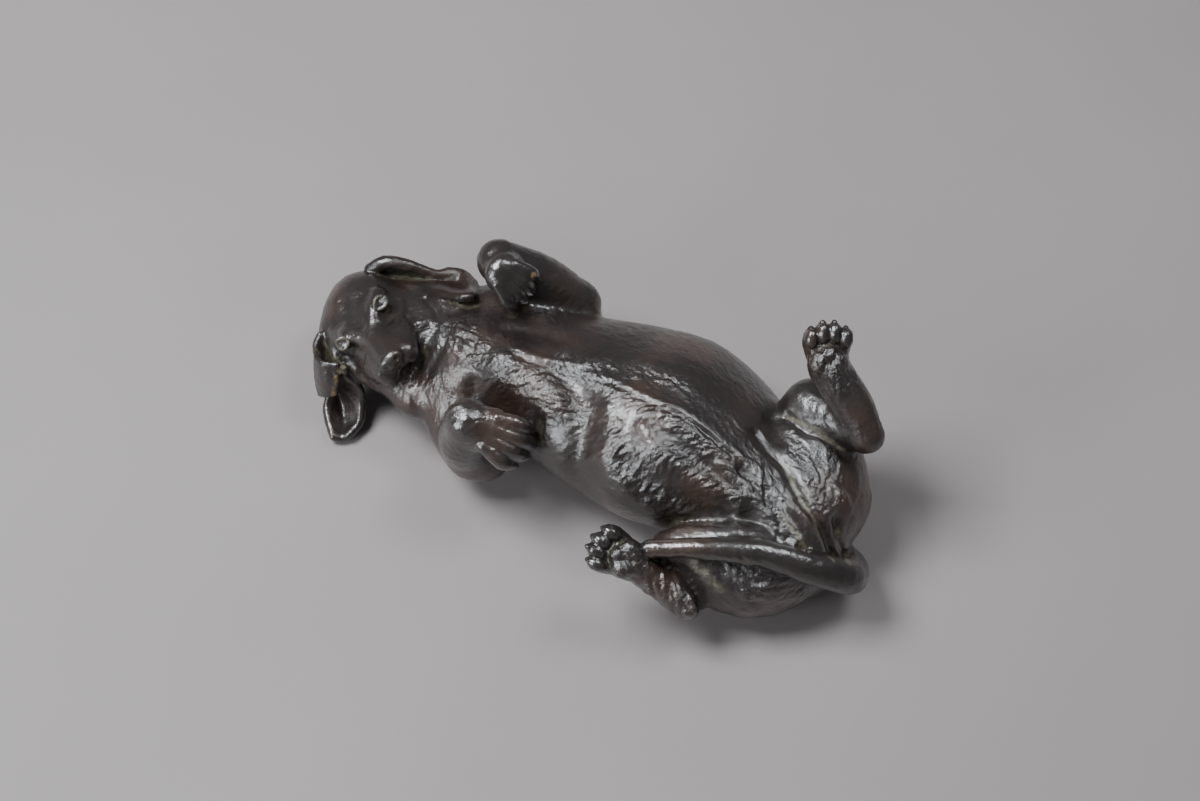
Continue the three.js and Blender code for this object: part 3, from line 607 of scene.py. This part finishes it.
def model_folds(clay):
    """The belly's creased midline and rolls, the breast, the edge of the ribs, the folds of the groin
    and the neck, and the dips round the thigh."""
    press = clay.press
    # The midline, and the rolls and dips beside it.
    middle = [[-2, -7, 71], [9, -9, 73.5], [26, -12.5, 76], [50, -13, 74], [69, -16, 68], [83, -21.5, 62]]
    press(middle, 6, -1.6)
    press(middle[1:] + [[97, -27.5, 58], [107, -31, 54]], 1.5, 1.1)
    press([[32, -24, 72], [42, -30, 70], [53, -32, 66], [64, -31, 61], [80, -32, 56]], 4, -2)
    press([[30, -37, 66], [38, -39, 65], [50, -41, 60], [62, -40, 55], [76, -38, 51]], 3.4, 1.8)
    press([[36, -18, 74], [53, -21.5, 69], [68, -24, 63], [84, -28, 58]], 4, 0.8)
    # The edge of the ribs.
    press([[-12, -12, 70], [-4, -16, 70], [4, -24, 69], [8, -34, 63], [10, -42, 52], [18, -46, 42]], 6, 2.6)
    press([[14, -20, 73], [20, -28, 72], [21, -38, 63], [32, -43, 58]], 3.4, -0.8)
    # The breast.
    press([[-40, -17, 67], [-24, -21, 67], [-9, -24, 64]], 6.5, -2.8)
    press([[-48, -28, 60], [-34, -30, 59], [-18, -33, 57]], 4.4, 3)
    press([[-34, -9, 71], [-22, -9, 71.5], [-10, -5, 71], [2, 0, 69]], 2.2, -1.1)
    press([[-46, 0, 67], [-36, 3, 67], [-26, 6, 67]], 5, 2)
    # The groin and the root of the tail.
    press([[74, 0, 65], [82, -4, 63], [90, -7, 62], [96, -12, 61], [104, -18, 58]], 2.4, 1.8)
    press([[96, -12, 61], [104, -18, 58], [111, -21, 55], [118, -24, 49], [124, -28, 40]], 2, 2.6)
    near_groin = [[76, -19, 64], [82, -20, 63], [93, -24, 61], [100, -29, 59], [106, -33, 55], [112, -35, 51]]
    press(near_groin, 2.2, 2.2)
    press([[119, -16, 50], [122, -20, 45], [126, -21, 38]], 1.8, 2)
    press([[114, -5, 57], [120, -7, 52], [124, -9, 45]], 2.4, -1.2)
    press([[77, 12, 60], [80, 7, 61], [82, 3, 61]], 4, 1.4)
    press([[83, 16, 62], [92, 12, 64], [100, 12, 65], [107, 11, 64], [112, 10, 62]], 2, 2)
    # Round the near thigh and hock.
    press([[56, -44, 43], [66, -38, 49], [80, -33.5, 52], [94, -32, 53], [102, -34, 52]], 4.6, 3.2)
    press([[60, -62, 36], [70, -62, 42], [79, -67, 36], [80, -70, 28]], 2.6, 3)
    # The neck.
    press([[-91, 6.4, 52.7], [-82, 0.7, 56.6], [-78, -8, 57], [-79, -16, 54.6], [-78, -23, 46]], 2, 1.3)
    press([[-84, 12, 52], [-76, 4, 57.5], [-71, -6, 60], [-70, -18, 58.6], [-71, -26, 50]], 2, 0.6)
    press([[-76, 14, 54.5], [-68, 4, 60.5], [-63, -6, 62.5], [-62, -16, 61]], 1.8, 0.3)
    press([[-93.5, -6.3, 54.4], [-88.5, -9.6, 55.6], [-84, -7.3, 55.3]], 1.4, 1)
    # The back of the near thigh.
    press([[86, -64, 42], [90, -64, 34], [93, -66, 24]], 2, 1.4)
    press([[100, -58, 40], [106, -58, 30], [108, -58, 20]], 2.4, 1.2)


def grind_underside(clay):
    """The underside is ground flat at the resting cut."""
    z = (clay.low[2] + clay.spacing * np.arange(clay.count[2])).astype(np.float32)
    clay.value = np.maximum(clay.value, RESTING_CUT - z)


def hair_way(forms, p):
    """The way the hair lies at each point: the long ways of the nearest forms, mixed by nearness."""
    x, y, z = p.T.astype(np.float32)
    found = [form.distance(x, y, z, flow=True) for form in forms]
    nearest = np.min([d for d, _ in found], axis=0)
    blend = 3
    total = 0
    for d, way in found:
        total = total + np.exp(-(d - nearest) / blend)[:, None] * way
    return unit(total)


def comb_belly(p, way, out):
    """Turns the hair of the trunk outwards from the belly's midline and down the flanks. The midline bends
    to the right with the square of the way along the belly, and the turn fades towards the neck and rump."""
    x, y, z = p.T
    middle = -11 - 0.0022 * np.maximum(x, 0) ** 2
    side = np.clip((y - middle) / 6, -1, 1)
    down = np.cross(out, np.array([1.0, 0, 0])) * -side[:, None]
    along = np.clip((118 - np.abs(x - 24) * 1.3) / 30, 0, 1)
    below_paws = np.clip((80 - z) / 6, 0, 1)
    return unit(way + down * (1.1 * (along * below_paws))[:, None])


def combed_way(p, out, forms):
    """The way the hair lies along the surface: that of the forms, turned down the flanks and then swirled
    to either side at random."""
    way = hair_way(forms, p)
    way = unit(way - out * (way * out).sum(1)[:, None])
    way = comb_belly(p, way, out)
    swirl = 0.9 * speckle(p, cell=18, seed=5)
    return unit(way + np.cross(out, way) * swirl[:, None])


def marked(p, lines):
    """1 on the nearest of the lines, each with its own width, falling to 0 beside them."""
    return np.max([near_line(p, points, width) for points, width in lines], axis=0)


# Where the hair is cut deepest: a run of points and a width for each place.
TOOLED = (
    ([[-38, -18, 69], [-22, -23, 70], [-2, -26, 66]], 9),
    ([[-18, -4, 70], [1, -1, 72], [23, 2, 75], [36, 3, 75]], 5),
    (
        [
            [-15, -10, 70],
            [7, -11, 74],
            [26, -15, 77],
            [50, -17, 74],
            [69, -19, 68],
            [83, -24, 61],
            [106, -32, 53],
        ],
        4,
    ),
    ([[41, -30, 73], [57, -30, 68], [78, -31, 60]], 4.5),
    ([[30, -41, 62], [44, -41, 57], [57, -41, 49]], 7),
    ([[77, -17, 64], [94, -19, 61], [104, -12, 60], [114, -11, 57]], 6),
    ([[92, -52, 45], [104, -54, 40], [117, -45, 33]], 8),
    ([[60, -76, 41], [78, -73, 37]], 6),
    ([[18, -24, 74], [26, -34, 68], [33, -41, 60]], 5),
    ([[96, 0, 60], [106, 4, 58]], 7),
    ([[90, 22, 60], [106, 20, 62]], 7),
    ([[-50, -47, 66], [-44, -49, 70]], 5),
    ([[-84, -31, 46], [-72, -33, 50], [-60, -36, 53]], 7),
    ([[90, 29, 96], [102, 27, 90]], 7),
    ([[44, -73, 57], [54, -74, 52]], 6),
    ([[-77, -11, 57], [-64, -8, 63], [-48, -14, 64]], 8),
)
# Where the wax has been polished: the paws, the tail and round the near eye.
POLISHED = (
    ([[-50, -48, 66], [-38, -49, 72], [-18, -48, 58]], 13),
    ([[-58, 12, 84], [-44, 22, 78], [-42, 26, 66]], 13),
    ([[84, 29, 100], [102, 27, 90]], 12),
    ([[32, -73, 57], [56, -74, 50]], 12),
    ([[128, -26, 38], [98, -44, 56], [54, -63, 54]], 8),
    ([[-122, -24, 50], [-114, -28, 52], [-108, -26, 50]], 7),
)
# Where old wax and dust have settled in lines. The one on the right ear's knob is dust and partly a painted
# highlight.
DUSTY = (
    ([[89, -5, 60], [97, -12, 58], [104, -17, 56], [114, -25, 53], [125, -33, 49]], 1.2),
    ([[99, -27, 56], [106, -30, 53], [112, -33, 50]], 1.4),
    ([[121, -18, 45], [125, -20, 37], [131, -29, 44]], 1.2),
    ([[82, 17, 60], [92, 14, 64], [100, 13, 64], [110, 12, 60]], 1.2),
    ([[71, -58, 46], [79, -60, 43], [86, -62, 38]], 1.8),
    ([[-131, -22, 38], [-124, -27, 36], [-117, -32, 36]], 1.5),
    # The knob: beige dust, partly a painted highlight.
    ([[-113.3, -33, 36.5], [-113, -34.5, 35.5]], 1.4),
)
# The deep hollows of the two ears and the far ear's near edge, where shade is painted: they are darkened in
# the patina.
PAINTED_SHADE_LINES = (
    ([[-112, 20, 42], [-96, 21, 45], [-86, 23, 45], [-77, 20.5, 51]], 8),
    ([[-92, 11, 53], [-84, 10, 58], [-76, 9, 62], [-69, 11, 63.5]], 4.5),
    ([[-129, -24, 33], [-126, -28, 28], [-122, -31, 22]], 5),
)


def on_face(p):
    """1 along the middle of the head, which is smooth, falling to 0 round it."""
    return near_line(p, [HEAD.at(-12, 0, 0), HEAD.at(20, 0, -2), HEAD.at(44, 0, -4)], 17)


def tooling(p):
    """How deep the hair is cut: full along the tooled lines, and unevenly so."""
    return marked(p, TOOLED) * np.clip(1 + 0.8 * speckle(p, cell=10, seed=3), 0.3, 1.5)


def settled_dust(p):
    """The dusty lines, and a ring in the lids of each eye."""
    from_eye = np.min([np.linalg.norm(p - eye_place(side), axis=1) for side in (-1, 1)], axis=0)
    ring = np.exp(-(((from_eye - 3.1) / 0.6) ** 2))
    return np.maximum(marked(p, DUSTY), 0.8 * ring)


def rubbed_places(p, proud):
    """Where the patina is rubbed through: the fold and knob of the right ear, claw tips and one wrist."""
    edge = np.clip(0.8 - proud, 0, 1)
    fold = near_line(p, [[-115.5, -34, 37], [-115, -38, 31.5], [-116.5, -40.5, 22]], 1.4)
    knob = near_ball(p, [-113.3, -33, 35], 3)
    wrist = near_ball(p, [-43, 22, 82], 2.0)
    return np.clip(edge * 0.55 + fold * 0.8 + knob * 0.6 + wrist, 0, 1)


def new_mesh(name, points, faces):
    """A mesh from an array of points, in metres, and one of four-sided faces."""
    mesh = bpy.data.meshes.new(name)
    mesh.vertices.add(len(points))
    mesh.vertices.foreach_set("co", points.astype(np.float32).ravel())
    mesh.loops.add(faces.size)
    mesh.loops.foreach_set("vertex_index", faces.astype(np.int32).ravel())
    mesh.polygons.add(len(faces))
    mesh.polygons.foreach_set("loop_start", np.arange(0, faces.size, faces.shape[1], dtype=np.int32))
    mesh.update(calc_edges=True)
    mesh.validate()
    return mesh


def give(mesh, name, values):
    """Stores one value for each point under a name that the material reads."""
    layer = mesh.attributes.new(name, "FLOAT", "POINT")
    layer.data.foreach_set("value", np.asarray(values, np.float32))


class Nodes:
    """Short names for building a material's nodes."""

    def __init__(self, name):
        self.material = bpy.data.materials.new(name)
        self.material.use_nodes = True
        self.tree = self.material.node_tree
        self.tree.nodes.clear()
        self.shader = self.add("ShaderNodeBsdfPrincipled")
        out = self.add("ShaderNodeOutputMaterial")
        self.tree.links.new(self.shader.outputs[0], out.inputs[0])
        self.where = self.add("ShaderNodeTexCoord").outputs["Object"]

    def add(self, kind, **values):
        node = self.tree.nodes.new(kind)
        for key, value in values.items():
            setattr(node, key, value)
        return node

    def join(self, source, socket):
        """Links a socket to another one, or sets its value."""
        if hasattr(source, "default_value") or hasattr(source, "links"):
            self.tree.links.new(source, socket)
        else:
            socket.default_value = source

    def noise(self, scale, detail, rough=0.5):
        node = self.add("ShaderNodeTexNoise")
        self.join(self.where, node.inputs["Vector"])
        node.inputs["Scale"].default_value = scale
        node.inputs["Detail"].default_value = detail
        node.inputs["Roughness"].default_value = rough
        return node.outputs[0]

    def attribute(self, name):
        return self.add("ShaderNodeAttribute", attribute_name=name).outputs["Fac"]

    def step(self, value, low, high, to_low=0.0, to_high=1.0):
        """Eases from to_low to to_high while the value goes from low to high."""
        node = self.add("ShaderNodeMapRange", interpolation_type="SMOOTHSTEP")
        for socket, v in zip(node.inputs, (value, low, high, to_low, to_high)):
            self.join(v, socket)
        return node.outputs[0]

    def math(self, operation, a, b):
        node = self.add("ShaderNodeMath", operation=operation)
        self.join(a, node.inputs[0])
        self.join(b, node.inputs[1])
        return node.outputs[0]

    def mix(self, amount, a, b):
        node = self.add("ShaderNodeMix", data_type="RGBA")
        self.join(amount, node.inputs[0])
        self.join(a, node.inputs[6])
        self.join(b, node.inputs[7])
        return node.outputs[2]

    def bump(self, height, distance):
        node = self.add("ShaderNodeBump")
        node.inputs["Distance"].default_value = distance
        self.join(height, node.inputs["Height"])
        return node.outputs[0]


def patinated_bronze(sizes):
    """Bronze under a brown patina and wax: mottled brown, dusty in the hollows, and with painted shade there:
    the deeper hollows and the ears' hollows are darkened and their shine dulled. It is rubbed through to
    the metal on the ear's fold, the claws and other proud spots. The tooled places are crackled and glossy,
    the smooth ones satin."""
    n = Nodes("patinated bronze")
    socket = n.shader.inputs
    painted_shade, polished = n.attribute("painted_shade"), n.attribute("polished")
    grain = n.noise(GRAIN, 3.0, 0.6)

    warm = n.step(n.noise(CLOUDS, 3.0), 0.42, 0.66)
    colour = n.mix(warm, (*sizes.patina, 1), (*sizes.warm_patina, 1))
    # Painted shade: in the ears' hollows and the deeper hollows the patina is darkened to three tenths.
    shade = (*[0.3 * c for c in sizes.patina], 1)
    colour = n.mix(n.math("MULTIPLY", painted_shade, 0.7), colour, shade)
    settled = n.math("MULTIPLY", n.step(n.attribute("hollow"), 0.6, 1.1), 0.45)
    ragged = n.step(grain, 0.38, 0.6, 0.3, 1.0)
    dust = n.math("MULTIPLY", n.math("MAXIMUM", settled, n.attribute("dusty")), ragged)
    colour = n.mix(n.math("MULTIPLY", dust, 0.8), colour, (*sizes.dust, 1))
    rub = n.math("ADD", n.attribute("rubbed"), n.math("MULTIPLY", grain, 0.7))
    colour = n.mix(n.step(rub, 0.85, 1.15), colour, (*sizes.worn, 1))
    n.join(colour, socket["Base Color"])

    # The painted shade also takes the metal and the specular shine out of those hollows.
    n.join(n.step(painted_shade, 0.0, 1.0, 0.4, 0.0), socket["Metallic"])
    n.join(n.step(painted_shade, 0.0, 1.0, 0.5, 0.1), socket["Specular IOR Level"])
    rough = n.step(n.noise(GLOSS, 4.0, 0.6), 0.3, 0.75, 0.32, 0.5)
    n.join(n.mix(dust, rough, (*[DUST_ROUGHNESS] * 3, 1)), socket["Roughness"])

    wax = n.step(polished, 0.0, 0.6, 0.6, 1.0)
    # There the painted shade also thins the wax's shine.
    n.join(n.math("MULTIPLY", wax, n.step(painted_shade, 0.0, 1.0, 1.0, 0.25)), socket["Coat Weight"])
    socket["Coat IOR"].default_value = WAX_IOR
    satin = n.step(polished, 0.1, 0.7, 0.24, 0.12)
    n.join(n.math("ADD", satin, n.math("MULTIPLY", dust, 0.4)), socket["Coat Roughness"])

    relief = n.step(n.attribute("tooled"), 0.0, 0.9, 0.3, 1.0)
    crackle = n.math("MULTIPLY", n.noise(CRACKLE, 4.0, 0.6), relief)
    normal = n.bump(crackle, sizes.crackle_depth * MM)
    n.join(normal, socket["Normal"])
    n.join(normal, socket["Coat Normal"])
    return n.material


def table_paper(colour):
    """Matt pale paper with a faint cloudiness."""
    n = Nodes("table paper")
    tone = n.step(n.noise(PAPER_CLOUDS, 4.0), 0.3, 0.7)
    cloud = (*[0.95 * c for c in colour], 1)
    n.join(n.mix(tone, (*colour, 1), cloud), n.shader.inputs["Base Color"])
    n.shader.inputs["Roughness"].default_value = PAPER_ROUGHNESS
    return n.material


class PuppySizes(bpy.types.PropertyGroup):
    """The finish of the figure."""

    grid: FloatProperty(
        name="Modelling step", description="Spacing of the clay's grid, in millimetres", default=0.6, min=0.4)
    hair_depth: FloatProperty(
        name="Hair depth", description="How deep the tooled hair is, in millimetres", default=0.5)
    tuft_depth: FloatProperty(
        name="Tuft depth", description="How deep the broad tufts are, in millimetres", default=0.48)
    crackle_depth: FloatProperty(
        name="Crackle depth", description="Depth of the fine crackle, in millimetres", default=0.9)
    patina: FloatVectorProperty(
        name="Patina", description="The brown of the patina", subtype="COLOR", default=(0.022, 0.016, 0.0145))
    warm_patina: FloatVectorProperty(
        name="Warm patina", description="Its redder clouds", subtype="COLOR", default=(0.050, 0.029, 0.021))
    dust: FloatVectorProperty(
        name="Dust", description="Old wax and dust in the hollows", subtype="COLOR",
        default=(0.15, 0.135, 0.085))
    worn: FloatVectorProperty(
        name="Worn metal", description="Bare metal where it is rubbed", subtype="COLOR",
        default=(0.26, 0.17, 0.07))


class StageSizes(bpy.types.PropertyGroup):
    """The table, the lights and the camera."""

    paper: FloatVectorProperty(
        name="Paper", description="Colour of the table", subtype="COLOR", default=(0.245, 0.218, 0.213))
    key_power: FloatProperty(
        name="Key light", description="Power of the large overhead light", default=26.0, unit="POWER")
    fill_power: FloatProperty(
        name="Side lights", description="Power of the left light, and of the right one at 0.7 of it",
        default=10.0, unit="POWER")
    lens: FloatProperty(
        name="Lens", description="Focal length of the camera, in millimetres", default=60.0, unit="CAMERA")


FORMS = (
    model_trunk,
    model_neck,
    model_head,
    model_ears,
    model_forelegs,
    model_hind_legs,
    model_tail,
    model_folds,
    grind_underside,
)


class OBJECT_OT_bronze_puppy(bpy.types.Operator):
    """Model the puppy and give it its patina"""

    bl_idname = "object.bronze_puppy"
    bl_label = "Bronze puppy"

    def execute(self, context):
        sizes = context.scene.puppy_sizes
        clay = Clay(BLOCK_LOW, BLOCK_HIGH, sizes.grid)
        for model in FORMS:
            model(clay)
        points, faces = clay.skin()
        out = clay.slope(points)
        hollow = np.clip(1.15 - clay.read(points + out * HOLLOW_PROBE) / HOLLOW_PROBE, 0, 1)
        proud = np.clip(-clay.read(points - out * PROUD_PROBE) / PROUD_PROBE, 0, 1)
        way = combed_way(points, out, clay.coated)
        furred = 1 - on_face(points)
        tooled = tooling(points) * furred
        cut = PLAIN_HAIR * furred + tooled
        risen = np.clip((points[:, 2] - RESTING_CUT - BARE_EDGE) / UNDERSIDE_FADE, 0, 1)
        hair = sizes.hair_depth * strokes(points, way, **STRANDS)
        tuft = sizes.tuft_depth * strokes(points, way, **TUFTS)
        lift = (hair + tuft) * cut * risen
        points = points + out * lift[:, None]
        mesh = new_mesh("puppy", (points + OFFSET) * MM, faces)
        give(mesh, "hollow", hollow + GROOVE_SHARE * np.clip(-lift, 0, 1))
        give(mesh, "rubbed", rubbed_places(points, proud))
        give(mesh, "tooled", tooled)
        give(mesh, "polished", np.maximum(tooled, marked(points, POLISHED)))
        give(mesh, "dusty", settled_dust(points))
        # Painted shade: the ears' hollows and the deeper hollows, darkened in the material.
        give(mesh, "painted_shade", np.maximum(marked(points, PAINTED_SHADE_LINES), np.clip(1.6 * hollow - 0.5, 0, 1)))
        puppy = bpy.data.objects.new("puppy", mesh)
        context.scene.collection.objects.link(puppy)
        mesh.materials.append(patinated_bronze(sizes))
        thin = puppy.modifiers.new("thin", "DECIMATE")
        thin.ratio = min(1.0, MOST_TRIANGLES / (2 * len(faces)))
        context.view_layer.objects.active = puppy
        with context.temp_override(object=puppy, active_object=puppy):
            bpy.ops.object.modifier_apply(modifier=thin.name)
        puppy.data.shade_smooth()
        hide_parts("dog")
        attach(puppy, "root")
        return {"FINISHED"}


class OBJECT_OT_puppy_stage(bpy.types.Operator):
    """Set the table, the lights and the camera"""

    bl_idname = "object.puppy_stage"
    bl_label = "Stage"

    def execute(self, context):
        sizes = context.scene.puppy_stage
        scene = context.scene
        a, e = np.radians(CAMERA_ROUND), np.radians(CAMERA_UP)
        back = Vector((np.sin(a) * np.cos(e), -np.cos(a) * np.cos(e), np.sin(e)))
        right = Vector((np.cos(a), np.sin(a), 0))
        up = back.cross(right)
        middle = Vector(OFFSET * MM) + Vector((0, 0, LOOK_HEIGHT))
        camera = bpy.data.objects.new("camera", bpy.data.cameras.new("camera"))
        camera.data.lens = sizes.lens
        turn = Matrix((right, up, back)).transposed().to_4x4()
        camera.matrix_world = Matrix.Translation(middle + back * CAMERA_DISTANCE) @ turn
        scene.collection.objects.link(camera)
        scene.camera = camera

        # Each light's place, to the right, up and towards the camera, its power and its width.
        for name, place, power, width in (
            ("key", (-0.55, 0.6, 0.9), sizes.key_power, 0.5),
            ("left", (-0.95, -0.3, 0.7), sizes.fill_power, 0.5),
            ("right", (0.5, 0.75, 0.85), sizes.fill_power * 0.7, 0.4),
        ):
            lamp = bpy.data.lights.new(name, "AREA")
            lamp.energy, lamp.size, lamp.color = power, width, DAYLIGHT
            light = bpy.data.objects.new(name, lamp)
            offset = right * place[0] + up * place[1] + back * place[2]
            light.location = middle + offset
            light.rotation_euler = (-offset).to_track_quat("-Z", "Y").to_euler()
            scene.collection.objects.link(light)

        corners = TABLE_HALF * np.array([[-1, -1, 0], [1, -1, 0], [1, 1, 0], [-1, 1, 0]], float)
        table = bpy.data.objects.new("table", new_mesh("table", corners, np.array([[0, 1, 2, 3]])))
        table.data.materials.append(table_paper(tuple(sizes.paper)))
        scene.collection.objects.link(table)
        table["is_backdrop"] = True
        world = bpy.data.worlds.new("soft room")
        world.use_nodes = True
        background = world.node_tree.nodes["Background"]
        background.inputs["Color"].default_value = ROOM_TINT
        background.inputs["Strength"].default_value = ROOM_LIGHT
        scene.world = world
        return {"FINISHED"}


class VIEW3D_PT_bronze_puppy(bpy.types.Panel):
    """Lists the figure and its stage"""

    bl_label = "Bronze puppy"
    bl_space_type = "VIEW_3D"
    bl_region_type = "UI"
    bl_category = "Bronze puppy"

    def draw(self, context):
        for operator, sizes in (
            (OBJECT_OT_bronze_puppy, context.scene.puppy_sizes),
            (OBJECT_OT_puppy_stage, context.scene.puppy_stage),
        ):
            box = self.layout.box()
            for name in sizes.__annotations__:
                box.prop(sizes, name)
            box.operator(operator.bl_idname)


CLASSES = (
    PuppySizes,
    StageSizes,
    OBJECT_OT_bronze_puppy,
    OBJECT_OT_puppy_stage,
    VIEW3D_PT_bronze_puppy,
)


def register():
    for cls in CLASSES:
        bpy.utils.register_class(cls)
    bpy.types.Scene.puppy_sizes = PointerProperty(type=PuppySizes)
    bpy.types.Scene.puppy_stage = PointerProperty(type=StageSizes)


def unregister():
    del bpy.types.Scene.puppy_stage
    del bpy.types.Scene.puppy_sizes
    for cls in reversed(CLASSES):
        bpy.utils.unregister_class(cls)


def main():
    register()
    bpy.ops.object.bronze_puppy()
    bpy.ops.object.puppy_stage()
    lists = [[[float(v) for v in corner] for corner in box] for box in (CAD_BOX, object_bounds())]


if __name__ == "__main__":
    main()
